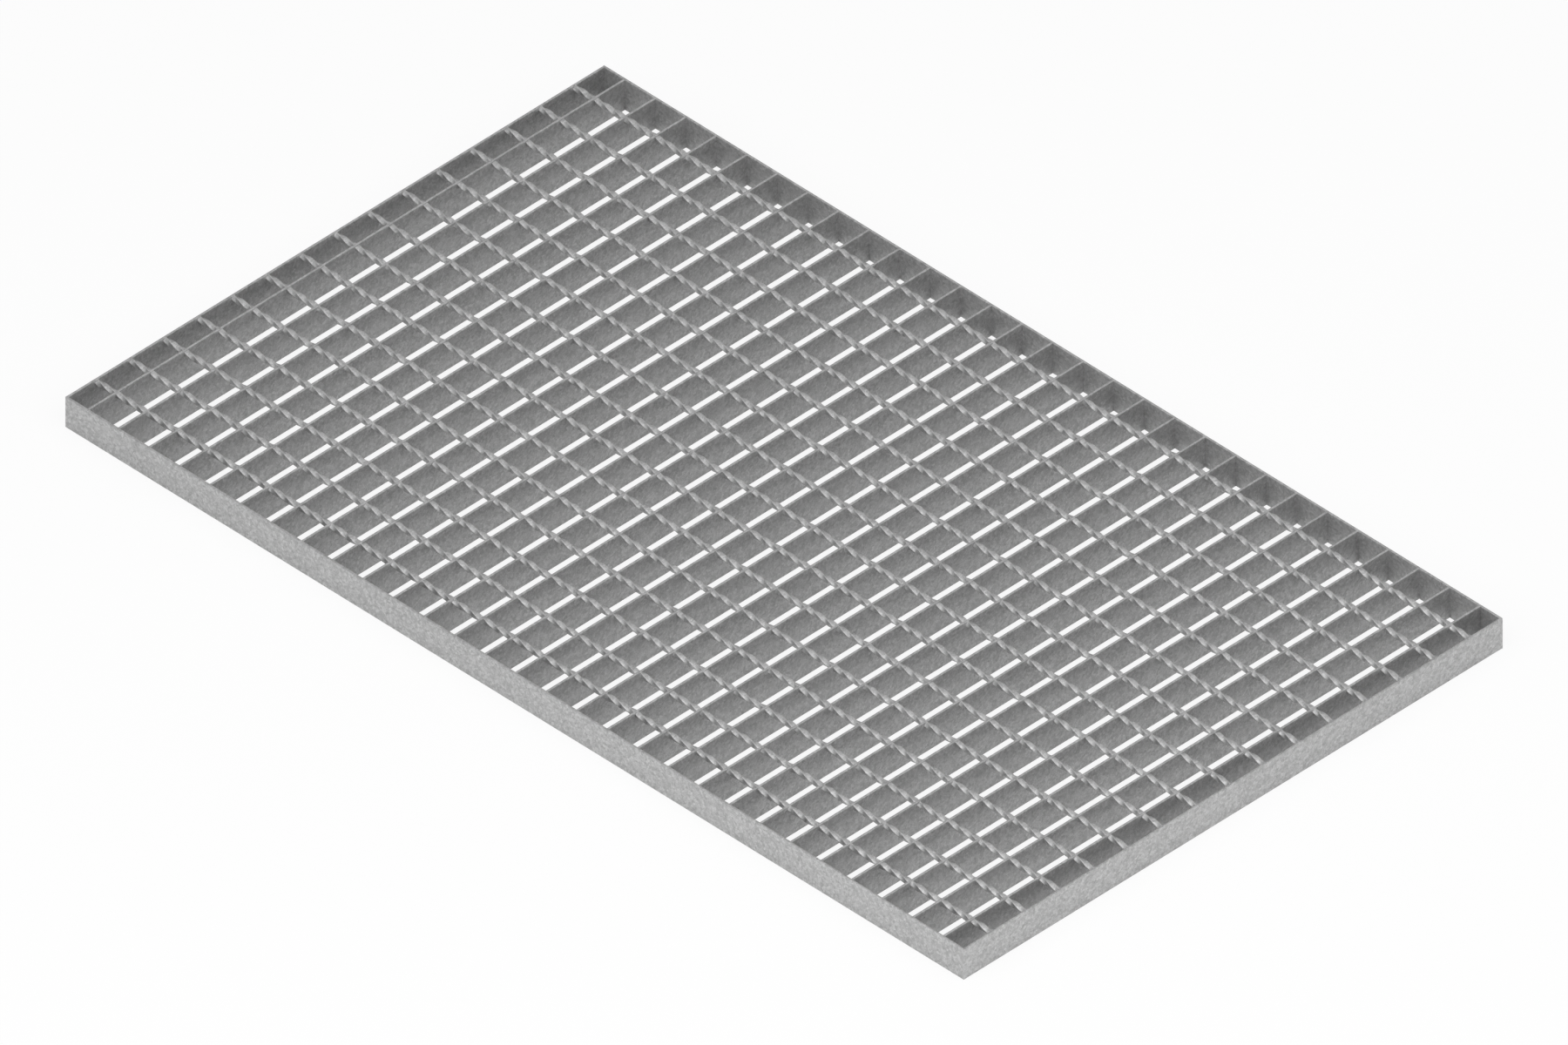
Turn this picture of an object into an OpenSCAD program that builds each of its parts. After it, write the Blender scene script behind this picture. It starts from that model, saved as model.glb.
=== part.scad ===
// Steel grating panel: flat bearing bars on edge, with twisted square rods forged into
// their tops, closed by a flat bar along each of its four edges.
// The panel lies on the plane Z = 0, centred on X and Y. The bearing bars run along Y
// and the twisted rods along X.

/* [Panel] */
// Length of the panel along X, over its edge bars
panel_l = 1000; // [600:1:1200]
// Width of the panel along Y, over its edge bars
panel_w = 600; // [300:1:900]
// Height of every flat bar, so of the whole panel
bar_h = 30; // [20:1:50]

/* [Bearing bars] */
// Thickness of a bearing bar
bar_t = 2; // [1.5:0.1:5]
// Distance from one bearing bar to the next, middle to middle
bar_pitch = 34; // [25:1:60]

/* [Twisted rods] */
// Side of the square rod
rod_side = 4.5; // [3:0.1:8]
// Distance from one rod to the next, middle to middle
rod_pitch = 38; // [25:1:100]
// Length of rod in which its twist makes one full turn
twist_l = 55; // [30:1:90]
// Angle of a rod's corners from level, at the panel's left end
twist_start = 69; // [0:1:89]
// Depth of the rods' highest corners under the tops of the bars
rod_sink = 0.1; // [0.05:0.05:2]

/* [Edge bars] */
// Thickness of the flat bar along each edge
edge_t = 2; // [1.5:0.1:5]

/* [Hidden] */

zinc = [0.66, 0.67, 0.68];

// Lengths inside the edge bars
clear_l = panel_l - 2 * edge_t;
clear_w = panel_w - 2 * edge_t;

// As many bars and rods as fit at their pitch, centred between the edge bars
bar_count = floor(clear_l / bar_pitch);
rod_count = floor(clear_w / rod_pitch);
function bar_x(i) = (i - (bar_count - 1) / 2) * bar_pitch;
function rod_y(i) = (i - (rod_count - 1) / 2) * rod_pitch;

// The grid is made in bays along X, cut through the rods midway between two bars
bay_count = 4;
function first_bar(bay) = floor(bay * bar_count / bay_count);
function bay_start(bay) =
    bay == 0 ? -clear_l / 2
    : bay == bay_count ? clear_l / 2
    : (bar_x(first_bar(bay) - 1) + bar_x(first_bar(bay))) / 2;

// A rod's section is a square that turns at an even rate along X, like a right-hand thread
rod_corners = 4;
rod_r = rod_side / sqrt(2);
rod_z = bar_h - rod_sink - rod_r;
function rod_ring(x) =
    let (turn = twist_start + 360 * (x + panel_l / 2) / twist_l)
    [for (i = [0:rod_corners - 1])
        let (a = turn + 360 * i / rod_corners)
        [x, rod_r * cos(a), rod_r * sin(a)]];

// Most that a rod turns from one ring of corners to the next
ring_turn = 56;
function ring_steps(length) = ceil(length * 360 / twist_l / ring_turn);

// Places of the rings: at each stop, and evenly between one stop and the next
function ring_places(stops) =
    [stops[0],
     for (s = [1:len(stops) - 1])
        let (gap = stops[s] - stops[s - 1], steps = ring_steps(gap))
        for (j = [1:steps]) stops[s - 1] + gap * j / steps];

// Two triangles for each side from ring k to the next, along the side's outward diagonal
function ring_faces(k) =
    [for (i = [0:rod_corners - 1])
        let (a = k * rod_corners, b = a + rod_corners, next = (i + 1) % rod_corners)
        each [[a + i, b + i, a + next], [a + next, b + i, b + next]]];

module twisted_rod(stops) {
    places = ring_places(stops);
    last = len(places) - 1;
    polyhedron(
        points = [for (x = places) each rod_ring(x)],
        faces = [[for (i = [0:rod_corners - 1]) i],
                 for (k = [0:last - 1]) each ring_faces(k),
                 [for (i = [rod_corners - 1:-1:0]) last * rod_corners + i]]);
}

module bearing_bar() {
    translate([-bar_t / 2, -clear_w / 2, 0]) cube([bar_t, clear_w, bar_h]);
}

// Bearing bars of one bay, fused with the stretches of all the rods that cross them
module grid_bay(bay) {
    bars = [for (i = [first_bar(bay):first_bar(bay + 1) - 1]) bar_x(i)];
    color(zinc) union() {
        for (x = bars) translate([x, 0, 0]) bearing_bar();
        for (i = [0:rod_count - 1])
            translate([0, rod_y(i), rod_z])
                twisted_rod([bay_start(bay), each bars, bay_start(bay + 1)]);
    }
}

// Edge bar along X, over the ends of the bearing bars: side is -1 in front and 1 behind
module long_edge_bar(side) {
    color(zinc) translate([-panel_l / 2, side * (panel_w - edge_t) / 2 - edge_t / 2, 0])
        cube([panel_l, edge_t, bar_h]);
}

// Edge bar along Y, over the ends of the rods: side is -1 on the left and 1 on the right
module short_edge_bar(side) {
    color(zinc) translate([side * (panel_l - edge_t) / 2 - edge_t / 2, -clear_w / 2, 0])
        cube([edge_t, clear_w, bar_h]);
}

grid_bay(0);  // grid_bay_1
grid_bay(1);  // grid_bay_2
grid_bay(2);  // grid_bay_3
grid_bay(3);  // grid_bay_4
long_edge_bar(-1);  // front_edge_bar
long_edge_bar(1);  // back_edge_bar
short_edge_bar(-1);  // left_edge_bar
short_edge_bar(1);  // right_edge_bar
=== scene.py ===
import bpy
import bmesh
import math
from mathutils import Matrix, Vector


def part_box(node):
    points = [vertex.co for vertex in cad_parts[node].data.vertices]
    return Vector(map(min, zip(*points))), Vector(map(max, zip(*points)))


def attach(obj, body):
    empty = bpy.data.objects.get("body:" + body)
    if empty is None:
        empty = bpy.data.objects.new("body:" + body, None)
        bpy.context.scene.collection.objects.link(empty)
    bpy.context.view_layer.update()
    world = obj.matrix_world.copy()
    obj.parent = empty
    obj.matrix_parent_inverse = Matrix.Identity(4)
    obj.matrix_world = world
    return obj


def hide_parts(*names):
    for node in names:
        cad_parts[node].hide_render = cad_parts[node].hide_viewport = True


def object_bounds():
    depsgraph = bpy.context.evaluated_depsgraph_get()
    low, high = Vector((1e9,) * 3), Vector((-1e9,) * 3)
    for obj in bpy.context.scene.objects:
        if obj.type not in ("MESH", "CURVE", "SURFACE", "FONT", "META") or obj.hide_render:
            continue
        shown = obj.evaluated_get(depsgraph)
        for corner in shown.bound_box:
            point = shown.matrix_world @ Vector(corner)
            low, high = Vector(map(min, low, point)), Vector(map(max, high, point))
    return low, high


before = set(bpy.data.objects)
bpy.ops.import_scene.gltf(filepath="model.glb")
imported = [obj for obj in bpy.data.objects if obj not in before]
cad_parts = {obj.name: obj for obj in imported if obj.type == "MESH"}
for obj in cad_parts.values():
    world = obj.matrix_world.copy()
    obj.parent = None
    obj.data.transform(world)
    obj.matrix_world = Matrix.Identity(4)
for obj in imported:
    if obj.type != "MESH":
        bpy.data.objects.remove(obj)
cadLow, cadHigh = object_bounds()
print("frame loaded")


# small helpers

alongShare = 0.9     # an edge runs along an axis when this much of it does
squareCorner = math.radians(45)
fullWhite = 1.0      # the strength of glow that shows as plain white


def deselectAll():
    if bpy.context.mode != "OBJECT":
        bpy.ops.object.mode_set(mode="OBJECT")
    bpy.ops.object.select_all(action="DESELECT")


def makeActive(piece):
    deselectAll()
    piece.select_set(True)
    bpy.context.view_layer.objects.active = piece


def addBlock(name, low, high):
    deselectAll()
    size = Vector(high) - Vector(low)
    middle = (Vector(low) + Vector(high)) / 2
    bpy.ops.mesh.primitive_cube_add(size=1, location=middle, scale=size)
    block = bpy.context.object
    block.name = name
    block.data.name = name
    bpy.ops.object.transform_apply(location=True, rotation=True, scale=True)
    return block


# edges are picked by a test on their two ends, then an edit operator is run on them
def pickEdges(piece, test):
    makeActive(piece)
    bpy.ops.object.mode_set(mode="EDIT")
    bpy.ops.mesh.select_mode(type="EDGE")
    bpy.ops.mesh.select_all(action="DESELECT")
    shape = bmesh.from_edit_mesh(piece.data)
    for edge in shape.edges:
        edge.select_set(test(edge.verts[0].co, edge.verts[1].co))
    bmesh.update_edit_mesh(piece.data)


def runsAlong(axis, a, b):
    step = b - a
    return abs(step[axis]) > alongShare * step.length


def roundPicked(radius, segments):
    bpy.ops.mesh.bevel(offset=radius, segments=segments, affect="EDGES")
    bpy.ops.object.mode_set(mode="OBJECT")


# a copy with its own mesh, moved in its mesh, so that its object stays at the origin
def copyBy(piece, name, offset):
    makeActive(piece)
    bpy.ops.object.duplicate(linked=False)
    made = bpy.context.object
    made.name = name
    made.data.name = name
    made.location = offset
    bpy.ops.object.transform_apply(location=True, rotation=False, scale=False)
    return made


def smooth(piece, angle):
    makeActive(piece)
    bpy.ops.object.shade_smooth_by_angle(angle=angle)


def finishPiece(piece, nodes, material):
    piece.data.materials.append(material)
    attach(piece, "root")
    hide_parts(*nodes)


# galvanised zinc

zincLook = {
    "dark": 0.37,
    "light": 0.73,
    "toneRange": (0.25, 0.75),     # of the mixed pattern, from dark to light
    "roughLow": 0.52,
    "roughHigh": 0.58,
    "roughRange": (0.3, 0.7),      # of the clouds, from smoother to rougher
    "flakeSize": 0.0022,           # soft spangle
    "flakeSoftness": 0.6,
    "flakeBend": 0.0012,
    "grainSize": 0.0009,           # fine crystals
    "cloudSize": 0.009,            # faint mottling
    "flakeShare": 0.32,
    "cloudShare": 0.08,
    "skinSize": 0.0012,            # bump of the zinc skin
    "skinDepth": 0.00002,
}


# the rods' zinc is the bars' zinc with a lower roughness and a lighter base colour; the
# lighter colour is painted highlight, to brighten the rods' crests
lighterPaintedRodLook = {**zincLook, "dark": 0.40, "light": 0.775, "roughLow": 0.46, "roughHigh": 0.52}


def makeZinc(name, look):
    material = bpy.data.materials.new(name)
    material.use_nodes = True
    nodes = material.node_tree.nodes
    links = material.node_tree.links
    shader = nodes["Principled BSDF"]
    shader.inputs["Metallic"].default_value = 1.0
    place = nodes.new("ShaderNodeTexCoord").outputs["Object"]

    def noise(size, detail, roughness):
        node = nodes.new("ShaderNodeTexNoise")
        node.inputs["Scale"].default_value = 1 / size
        node.inputs["Detail"].default_value = detail
        node.inputs["Roughness"].default_value = roughness
        links.new(place, node.inputs["Vector"])
        return node

    def blend(a, b, share):
        node = nodes.new("ShaderNodeMix")
        node.data_type = "FLOAT"
        node.inputs["Factor"].default_value = share
        links.new(a, node.inputs["A"])
        links.new(b, node.inputs["B"])
        return node.outputs["Result"]

    # flakes with bent outlines
    bend = nodes.new("ShaderNodeVectorMath")
    bend.operation = "MULTIPLY_ADD"
    bend.inputs[1].default_value = (look["flakeBend"],) * 3
    waves = noise(look["flakeSize"], detail=2.0, roughness=0.6)
    links.new(waves.outputs["Color"], bend.inputs[0])
    links.new(place, bend.inputs[2])
    flakes = nodes.new("ShaderNodeTexVoronoi")
    flakes.feature = "SMOOTH_F1"
    flakes.inputs["Scale"].default_value = 1 / look["flakeSize"]
    flakes.inputs["Smoothness"].default_value = look["flakeSoftness"]
    links.new(bend.outputs["Vector"], flakes.inputs["Vector"])

    grain = noise(look["grainSize"], detail=2.0, roughness=0.6).outputs["Fac"]
    cloud = noise(look["cloudSize"], detail=3.0, roughness=0.55).outputs["Fac"]
    fine = blend(grain, cloud, look["cloudShare"])
    tone = nodes.new("ShaderNodeValToRGB")
    levels = (look["dark"], look["light"])
    for element, position, level in zip(tone.color_ramp.elements, look["toneRange"], levels):
        element.position = position
        element.color = (level, level, level, 1)
    links.new(blend(fine, flakes.outputs["Color"], look["flakeShare"]), tone.inputs["Fac"])
    links.new(tone.outputs["Color"], shader.inputs["Base Color"])

    rough = nodes.new("ShaderNodeMapRange")
    rough.inputs["From Min"].default_value = look["roughRange"][0]
    rough.inputs["From Max"].default_value = look["roughRange"][1]
    rough.inputs["To Min"].default_value = look["roughLow"]
    rough.inputs["To Max"].default_value = look["roughHigh"]
    links.new(cloud, rough.inputs["Value"])
    links.new(rough.outputs["Result"], shader.inputs["Roughness"])

    skin = nodes.new("ShaderNodeBump")
    skin.inputs["Distance"].default_value = look["skinDepth"]
    height = noise(look["skinSize"], detail=2.0, roughness=0.5)
    links.new(height.outputs["Fac"], skin.inputs["Height"])
    links.new(skin.outputs["Normal"], shader.inputs["Normal"])
    return material


zinc = makeZinc("galvanisedZinc", zincLook)
# the rods' material: the bars' zinc painted lighter, as painted highlight on the rods
lighterPaintedRodZinc = makeZinc("galvanisedZincPaintedLighterForRods", lighterPaintedRodLook)
print("zinc made")


# the grating's mesh: bearing bars along Y, twisted rods along X

meshLayout = {
    "barPitch": 0.034,
    "rodPitch": 0.038,
    "barThick": 0.002,
    "pitchSlack": 1e-6,       # share of a pitch, so that a full count is never lost
}
gridNodes = [name for name in sorted(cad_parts) if name.startswith("grid_bay_")]
leftLow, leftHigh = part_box("left_edge_bar")
rightLow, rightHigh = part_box("right_edge_bar")
insideLow = Vector((leftHigh.x, leftLow.y, cadLow.z))
insideHigh = Vector((rightLow.x, leftHigh.y, cadHigh.z))
inside = insideHigh - insideLow


def evenPlaces(room, pitch):
    count = math.floor(room / pitch + meshLayout["pitchSlack"])
    return [(i - (count - 1) / 2) * pitch for i in range(count)]


barPlaces = evenPlaces(inside.x, meshLayout["barPitch"])
rodPlaces = evenPlaces(inside.y, meshLayout["rodPitch"])


def nodeAt(x):
    return next(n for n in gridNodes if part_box(n)[0].x <= x <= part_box(n)[1].x)


barLook = {"edgeRadius": 0.00025, "edgeSegments": 2, "smoothAngle": math.radians(50)}


def makeBearingBars(look):
    half = meshLayout["barThick"] / 2
    low = (-half, insideLow.y, insideLow.z)
    high = (half, insideHigh.y, insideHigh.z)
    first = addBlock("bearingBar", low, high)
    pickEdges(first, lambda a, b: runsAlong(1, a, b))
    roundPicked(look["edgeRadius"], look["edgeSegments"])
    smooth(first, look["smoothAngle"])
    for i, x in enumerate(barPlaces):
        bar = copyBy(first, f"bearingBar{i + 1:02d}", (x, 0, 0))
        finishPiece(bar, [nodeAt(x)], zinc)
    bpy.data.objects.remove(first)


makeBearingBars(barLook)
print("bearing bars made:", len(barPlaces))


rodLook = {
    "side": 0.0045,
    "cornerRadius": 0.0004,
    "cornerSegments": 2,
    "cutsAcross": 3,                  # on each side, so that it shades as it curves
    "cornerBand": 0.99,               # share of the half side where an edge is a corner
    "turnLength": 0.055,
    "startAngle": math.radians(69),   # of the corners, at the panel's left end
    "axisDepth": 0.00305,             # of the rod's middle, under the bar tops
    "coarseCuts": 24,                 # along the rod, and then within each part
    "fineCuts": 23,
    "smoothAngle": math.radians(60),
}


def makeTwistedRods(look):
    half = look["side"] / 2
    first = addBlock("twistedRod", (insideLow.x, -half, -half), (insideHigh.x, half, half))
    cornerFrom = half * look["cornerBand"]
    pickEdges(first, lambda a, b: not runsAlong(0, a, b))
    bpy.ops.mesh.subdivide(number_cuts=look["cutsAcross"])
    pickEdges(first, lambda a, b: runsAlong(0, a, b) and min(abs(a.y), abs(a.z)) > cornerFrom)
    roundPicked(look["cornerRadius"], look["cornerSegments"])
    for cuts in (look["coarseCuts"], look["fineCuts"]):
        pickEdges(first, lambda a, b: runsAlong(0, a, b))
        bpy.ops.mesh.subdivide(number_cuts=cuts)
    bpy.ops.object.mode_set(mode="OBJECT")

    # the block is turned first, because the twist turns nothing at the middle of the length
    middleAngle = look["startAngle"] + 2 * math.pi * (-cadLow.x) / look["turnLength"]
    first.rotation_euler.x = middleAngle - squareCorner
    makeActive(first)
    bpy.ops.object.transform_apply(location=False, rotation=True, scale=False)
    twist = first.modifiers.new("twist", "SIMPLE_DEFORM")
    twist.deform_method = "TWIST"
    twist.deform_axis = "X"
    twist.angle = 2 * math.pi * inside.x / look["turnLength"]
    bpy.ops.object.modifier_apply(modifier=twist.name)
    smooth(first, look["smoothAngle"])
    for i, y in enumerate(rodPlaces):
        rod = copyBy(first, f"twistedRod{i + 1:02d}", (0, y, cadHigh.z - look["axisDepth"]))
        # the rods take the zinc that is painted lighter, as painted highlight
        finishPiece(rod, gridNodes, lighterPaintedRodZinc)
    bpy.data.objects.remove(first)


makeTwistedRods(rodLook)
print("twisted rods made:", len(rodPlaces))


# edge bars

edgeLook = {"edgeRadius": 0.0003, "edgeSegments": 2, "smoothAngle": math.radians(50)}


# long edges are rounded, and the panel's upright corners; where two bars meet they stay flush
def makeEdgeBar(node, name, axis, look):
    low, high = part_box(node)
    bar = addBlock(name, low, high)
    middle = (low + high) / 2

    def isRounded(a, b):
        if runsAlong(axis, a, b):
            return True
        return axis == 0 and runsAlong(2, a, b) and abs(a.y) > abs(middle.y)

    pickEdges(bar, isRounded)
    roundPicked(look["edgeRadius"], look["edgeSegments"])
    smooth(bar, look["smoothAngle"])
    finishPiece(bar, [node], zinc)


makeEdgeBar("front_edge_bar", "frontEdgeBar", 0, edgeLook)
makeEdgeBar("back_edge_bar", "backEdgeBar", 0, edgeLook)
makeEdgeBar("left_edge_bar", "leftEdgeBar", 1, edgeLook)
makeEdgeBar("right_edge_bar", "rightEdgeBar", 1, edgeLook)
print("edge bars made")


# floor, light and camera

floorLook = {"size": 12.0, "colour": 0.97, "seenWhite": 0.86, "mirroredWhite": 0.04}


# how white each kind of ray finds a surface, apart from the light that falls on it
def whiteShare(nodes, links, look):
    path = nodes.new("ShaderNodeLightPath")
    total = None
    for kind, share in (("Is Camera Ray", look["seenWhite"]),
                        ("Is Glossy Ray", look["mirroredWhite"]),
                        ("Is Transmission Ray", look["seenWhite"])):
        part = nodes.new("ShaderNodeMath")
        part.operation = "MULTIPLY"
        part.inputs[1].default_value = share
        links.new(path.outputs[kind], part.inputs[0])
        if total is None:
            total = part.outputs["Value"]
            continue
        most = nodes.new("ShaderNodeMath")
        most.operation = "MAXIMUM"
        links.new(total, most.inputs[0])
        links.new(part.outputs["Value"], most.inputs[1])
        total = most.outputs["Value"]
    return total


def makeFloor(look):
    deselectAll()
    bpy.ops.mesh.primitive_plane_add(size=look["size"], location=(0, 0, cadLow.z))
    floor = bpy.context.object
    floor.name = "floor"
    material = bpy.data.materials.new("paleFloor")
    material.use_nodes = True
    nodes = material.node_tree.nodes
    links = material.node_tree.links
    nodes.remove(nodes["Principled BSDF"])
    matt = nodes.new("ShaderNodeBsdfDiffuse")
    matt.inputs["Color"].default_value = (look["colour"],) * 3 + (1,)
    glow = nodes.new("ShaderNodeEmission")
    glow.inputs["Strength"].default_value = fullWhite
    mix = nodes.new("ShaderNodeMixShader")
    links.new(whiteShare(nodes, links, look), mix.inputs["Fac"])
    links.new(matt.outputs["BSDF"], mix.inputs[1])
    links.new(glow.outputs["Emission"], mix.inputs[2])
    links.new(mix.outputs["Shader"], nodes["Material Output"].inputs["Surface"])
    floor.data.materials.append(material)


lightLook = {
    "low": 0.50,               # strength of the surroundings near the horizon
    "high": 0.74,              # and overhead
    "lowUpTo": 0.62,           # sines of the two heights above the horizon
    "highFrom": 0.85,
    "seenWhite": 1.0,
    "mirroredWhite": 0.04,
    "lampSize": 2.5,
    "lamps": (                 # name, power, place
        ("frontLamp", 21.5, (0.2, -2.0, 2.2)),
        ("rightLamp", 22.5, (1.9, -0.3, 2.3)),
    ),
}


def makeLight(look):
    world = bpy.data.worlds.new("studio")
    bpy.context.scene.world = world
    world.use_nodes = True
    nodes = world.node_tree.nodes
    links = world.node_tree.links
    background = nodes["Background"]
    background.inputs["Color"].default_value = (1, 1, 1, 1)
    direction = nodes.new("ShaderNodeTexCoord")
    split = nodes.new("ShaderNodeSeparateXYZ")
    links.new(direction.outputs["Generated"], split.inputs["Vector"])
    byHeight = nodes.new("ShaderNodeMapRange")
    byHeight.inputs["From Min"].default_value = look["lowUpTo"]
    byHeight.inputs["From Max"].default_value = look["highFrom"]
    byHeight.inputs["To Min"].default_value = look["low"]
    byHeight.inputs["To Max"].default_value = look["high"]
    links.new(split.outputs["Z"], byHeight.inputs["Value"])
    strength = nodes.new("ShaderNodeMix")
    strength.data_type = "FLOAT"
    strength.inputs["B"].default_value = fullWhite
    links.new(whiteShare(nodes, links, look), strength.inputs["Factor"])
    links.new(byHeight.outputs["Result"], strength.inputs["A"])
    links.new(strength.outputs["Result"], background.inputs["Strength"])

    for name, power, place in look["lamps"]:
        deselectAll()
        bpy.ops.object.light_add(type="AREA", location=place)
        lamp = bpy.context.object
        lamp.name = name
        lamp.data.energy = power
        lamp.data.size = look["lampSize"]
        lamp.rotation_euler = (-lamp.location).to_track_quat("-Z", "Y").to_euler()


cameraLook = {
    "azimuth": 45.0,
    "elevation": 38.0,
    "frameWidth": 1.234,
    "distance": 4.0,
    "seesFrom": 0.1,
    "seesTo": 50.0,
}


def makeCamera(look):
    azimuth = math.radians(look["azimuth"])
    elevation = math.radians(look["elevation"])
    back = Vector((math.sin(azimuth) * math.cos(elevation),
                   -math.cos(azimuth) * math.cos(elevation),
                   math.sin(elevation)))
    deselectAll()
    bpy.ops.object.camera_add(location=(cadLow + cadHigh) / 2 + back * look["distance"])
    camera = bpy.context.object
    camera.name = "camera"
    camera.rotation_euler = (-back).to_track_quat("-Z", "Y").to_euler()
    camera.data.type = "ORTHO"
    camera.data.ortho_scale = look["frameWidth"]
    camera.data.clip_start = look["seesFrom"]
    camera.data.clip_end = look["seesTo"]
    bpy.context.scene.camera = camera


makeFloor(floorLook)
makeLight(lightLook)
makeCamera(cameraLook)
bpy.context.scene.view_settings.view_transform = "Standard"
print("floor, light and camera made")
